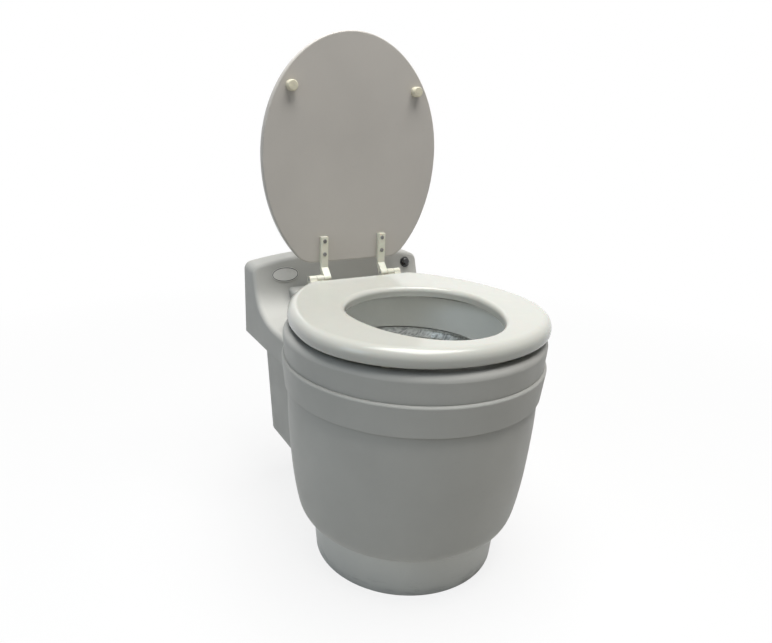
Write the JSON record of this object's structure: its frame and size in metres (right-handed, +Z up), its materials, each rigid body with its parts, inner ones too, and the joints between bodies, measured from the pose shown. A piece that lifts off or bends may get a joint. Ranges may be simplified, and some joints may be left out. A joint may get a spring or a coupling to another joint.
{
  "type": "dry flush toilet",
  "caption": "Waterless toilet with a round tub on a plinth, rear backrest with a flush button, film-lined turning bowl drive, hinged oval seat and raised lid.",
  "frame": {"origin": "on the floor, on the axis of the round plinth and tub, at the middle of the plinth's underside", "axes": "+Z up, the front of the seat points along -Y, +X is to the right of someone who looks at the front"},
  "size_m": [0.407, 0.5164, 0.813],
  "materials": {
    "housing_grey": "satin moulded, light grey",
    "seat_white": "glossy off-white",
    "lid_white": "satin off-white",
    "hinge_ivory": "glossy ivory",
    "bumper_ivory": "soft matt ivory",
    "pad_rubber": "matt black",
    "screw_dark": "dark oxide",
    "steel": "bright zinc",
    "bowl_grey": "smooth satin grey",
    "film_silver": "metallised film, crumpled",
    "film_stack": "gathered film, dull silver",
    "inner_plastic": "natural moulded plastic",
    "black_plastic": "matt black",
    "button_black": "glossy black",
    "badge_metal": "satin light grey, blank",
    "bag_film": "thin black film",
    "strap_webbing": "woven black",
    "tray_aluminium": "folded sheet",
    "board_green": "solder mask green"
  },
  "bodies": {
    "body": {"anti_slip_pads": "pad_rubber", "badge_plate": "badge_metal", "bag_ring": "inner_plastic", "battery": "black_plastic", "battery_strap": "strap_webbing", "blower_housing": "black_plastic", "blower_motor": "steel", "board_standoffs": "inner_plastic", "bowl_insert": "bowl_grey", "button_bezel": "button_black", "button_nut": "inner_plastic", "button_switch": "black_plastic", "collection_bag": "bag_film", "control_board": "board_green", "drive_motor": "steel", "equipment_tray": "tray_aluminium", "glide_ring": "inner_plastic", "hinge_nuts": "inner_plastic", "housing_screws": "steel", "left_hinge_pin": "steel", "left_hinge_post": "hinge_ivory", "lower_housing": "housing_grey", "motor_screws": "steel", "plinth": "housing_grey", "plinth_screws": "steel", "power_jack": "black_plastic", "rear_cover": "housing_grey", "rear_cover_screws": "steel", "right_hinge_pin": "steel", "right_hinge_post": "hinge_ivory", "rim_gasket": "pad_rubber", "rim_ring": "housing_grey", "support_deck": "inner_plastic", "upper_housing": "housing_grey", "vacuum_hose": "pad_rubber"},
    "lid": {"lid": "lid_white", "lid_bumpers": "bumper_ivory", "left_lid_arm": "hinge_ivory", "right_lid_arm": "hinge_ivory", "lid_screws": "screw_dark"},
    "seat": {"seat_ring": "seat_white", "seat_bumpers": "bumper_ivory", "left_seat_leaf": "hinge_ivory", "right_seat_leaf": "hinge_ivory", "seat_screws": "screw_dark"},
    "button": {"flush_button": "button_black"},
    "drum": {"carrier_ring": "inner_plastic", "film_cartridge": "inner_plastic", "cartridge_cover": "housing_grey", "film_pack": "film_stack", "film_liner": "film_silver"},
    "pinion": {"drive_pinion": "inner_plastic", "motor_shaft": "steel"},
    "blower": {"blower_wheel": "black_plastic"}
  },
  "joints": [
    {"name": "lid_hinge", "type": "hinge", "parent": "body", "child": "lid", "pos_m": [0, 0.2037, 0.4115], "axis": [1, 0, 0], "range_deg": [0, 90]},
    {"name": "seat_hinge", "type": "hinge", "parent": "body", "child": "seat", "pos_m": [0, 0.2037, 0.4115], "axis": [-1, 0, 0], "range_deg": [0, 90]},
    {"name": "flush_press", "type": "slide", "parent": "body", "child": "button", "axis": [0, 0.9532, -0.3024], "range_m": [0, 0.0025], "stiffness_N_per_m": 300, "springref_m": -0.002},
    {"name": "drum_spin", "type": "hinge", "parent": "body", "child": "drum", "pos_m": [0, 0.012, 0.256], "axis": [0, 0, 1], "continuous": true},
    {"name": "pinion_spin", "type": "hinge", "parent": "body", "child": "pinion", "pos_m": [0, 0.20415, 0.256], "axis": [0, 0, 1], "continuous": true},
    {"name": "blower_spin", "type": "hinge", "parent": "body", "child": "blower", "pos_m": [0.084, 0.259, 0.217], "axis": [0, 0, 1], "continuous": true}
  ],
  "couplings": [
    {"joint": "pinion_spin", "follows": "drum_spin", "ratio": -7}
  ]
}
